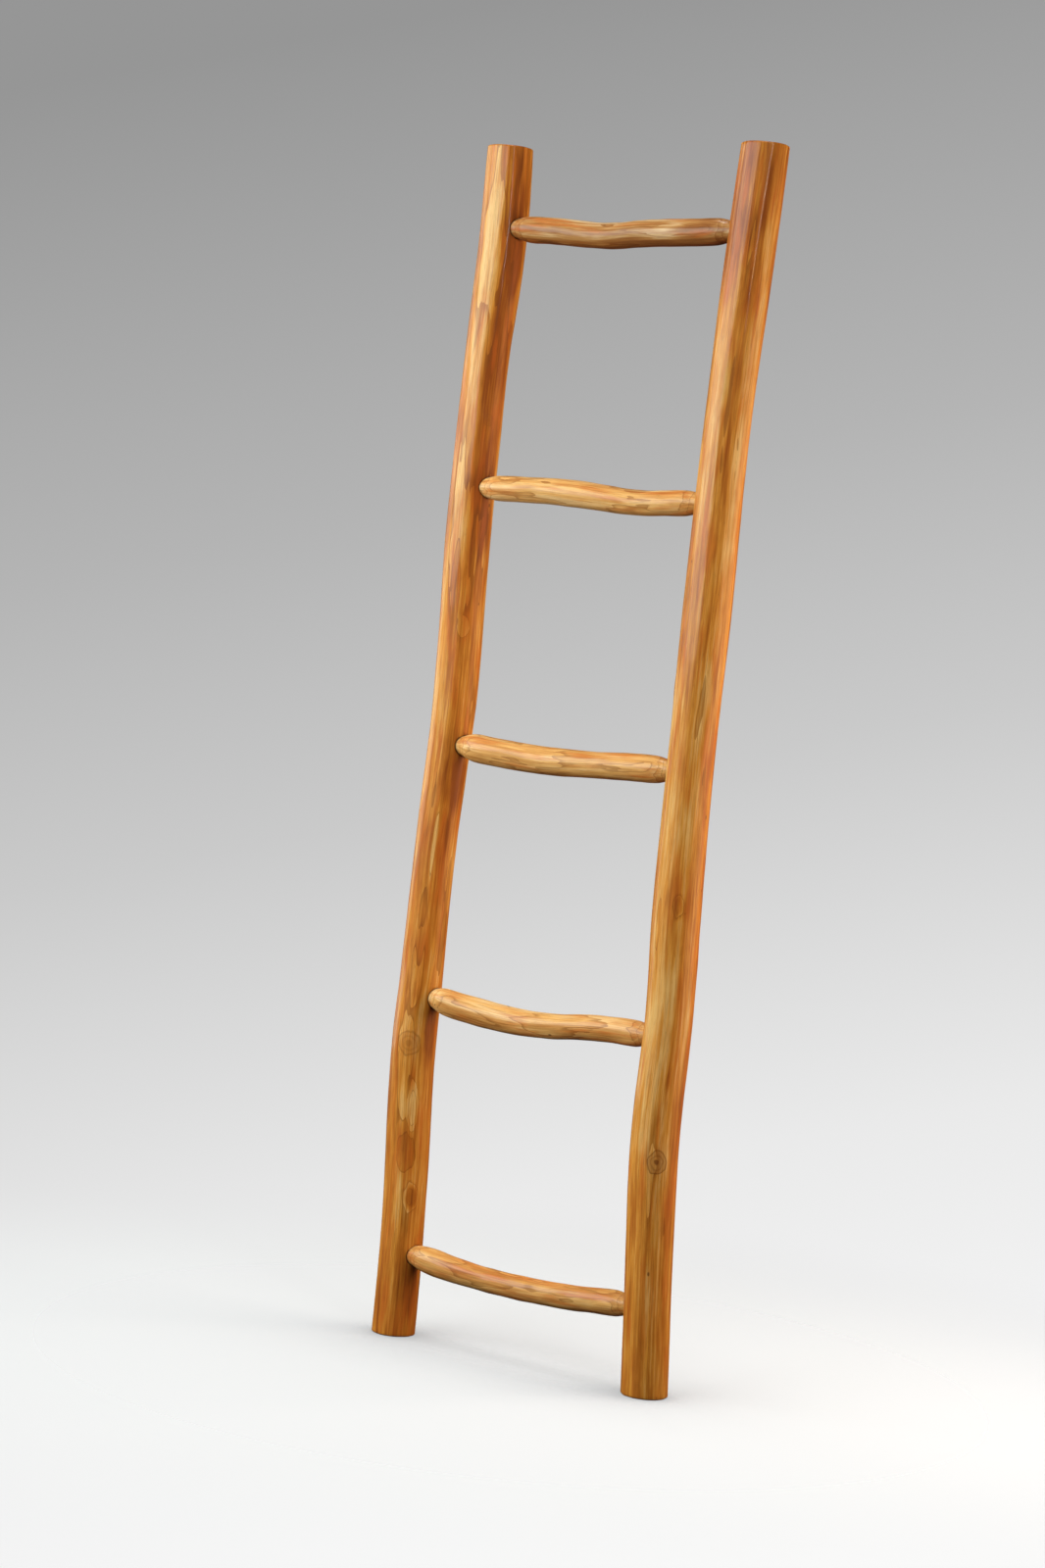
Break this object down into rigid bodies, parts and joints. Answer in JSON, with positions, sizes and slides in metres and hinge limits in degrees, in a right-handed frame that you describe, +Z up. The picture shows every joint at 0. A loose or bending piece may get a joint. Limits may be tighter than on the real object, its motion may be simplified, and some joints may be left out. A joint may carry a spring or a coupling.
{
  "type": "quilt ladder rack",
  "caption": "Rustic ladder of peeled branches: two upright rails joined by round rungs, over which quilts and blankets are folded and hung.",
  "frame": {"origin": "on the floor, under the middle of the ladder's box", "axes": "+Z up along the rails, +X along the rungs from the left rail to the right rail, -Y the front, from which no plug shows"},
  "size_m": [0.476, 0.0738, 1.6],
  "materials": {
    "rail_wood": "peeled branch, sanded and clear lacquered, satin gloss",
    "rung_wood": "peeled branch, sanded and clear lacquered, satin gloss",
    "plug_wood": "wooden plug cut flush and lacquered over",
    "screw_steel": "plain zinc plated"
  },
  "bodies": {
    "root": {"left_rail": "rail_wood", "left_screw_1": "screw_steel", "left_plug_1": "plug_wood", "left_screw_2": "screw_steel", "left_plug_2": "plug_wood", "left_screw_3": "screw_steel", "left_plug_3": "plug_wood", "left_screw_4": "screw_steel", "left_plug_4": "plug_wood", "left_screw_5": "screw_steel", "left_plug_5": "plug_wood", "right_rail": "rail_wood", "right_screw_1": "screw_steel", "right_plug_1": "plug_wood", "right_screw_2": "screw_steel", "right_plug_2": "plug_wood", "right_screw_3": "screw_steel", "right_plug_3": "plug_wood", "right_screw_4": "screw_steel", "right_plug_4": "plug_wood", "right_screw_5": "screw_steel", "right_plug_5": "plug_wood", "rung_1": "rung_wood", "rung_2": "rung_wood", "rung_3": "rung_wood", "rung_4": "rung_wood", "rung_5": "rung_wood"}
  },
  "joints": []
}
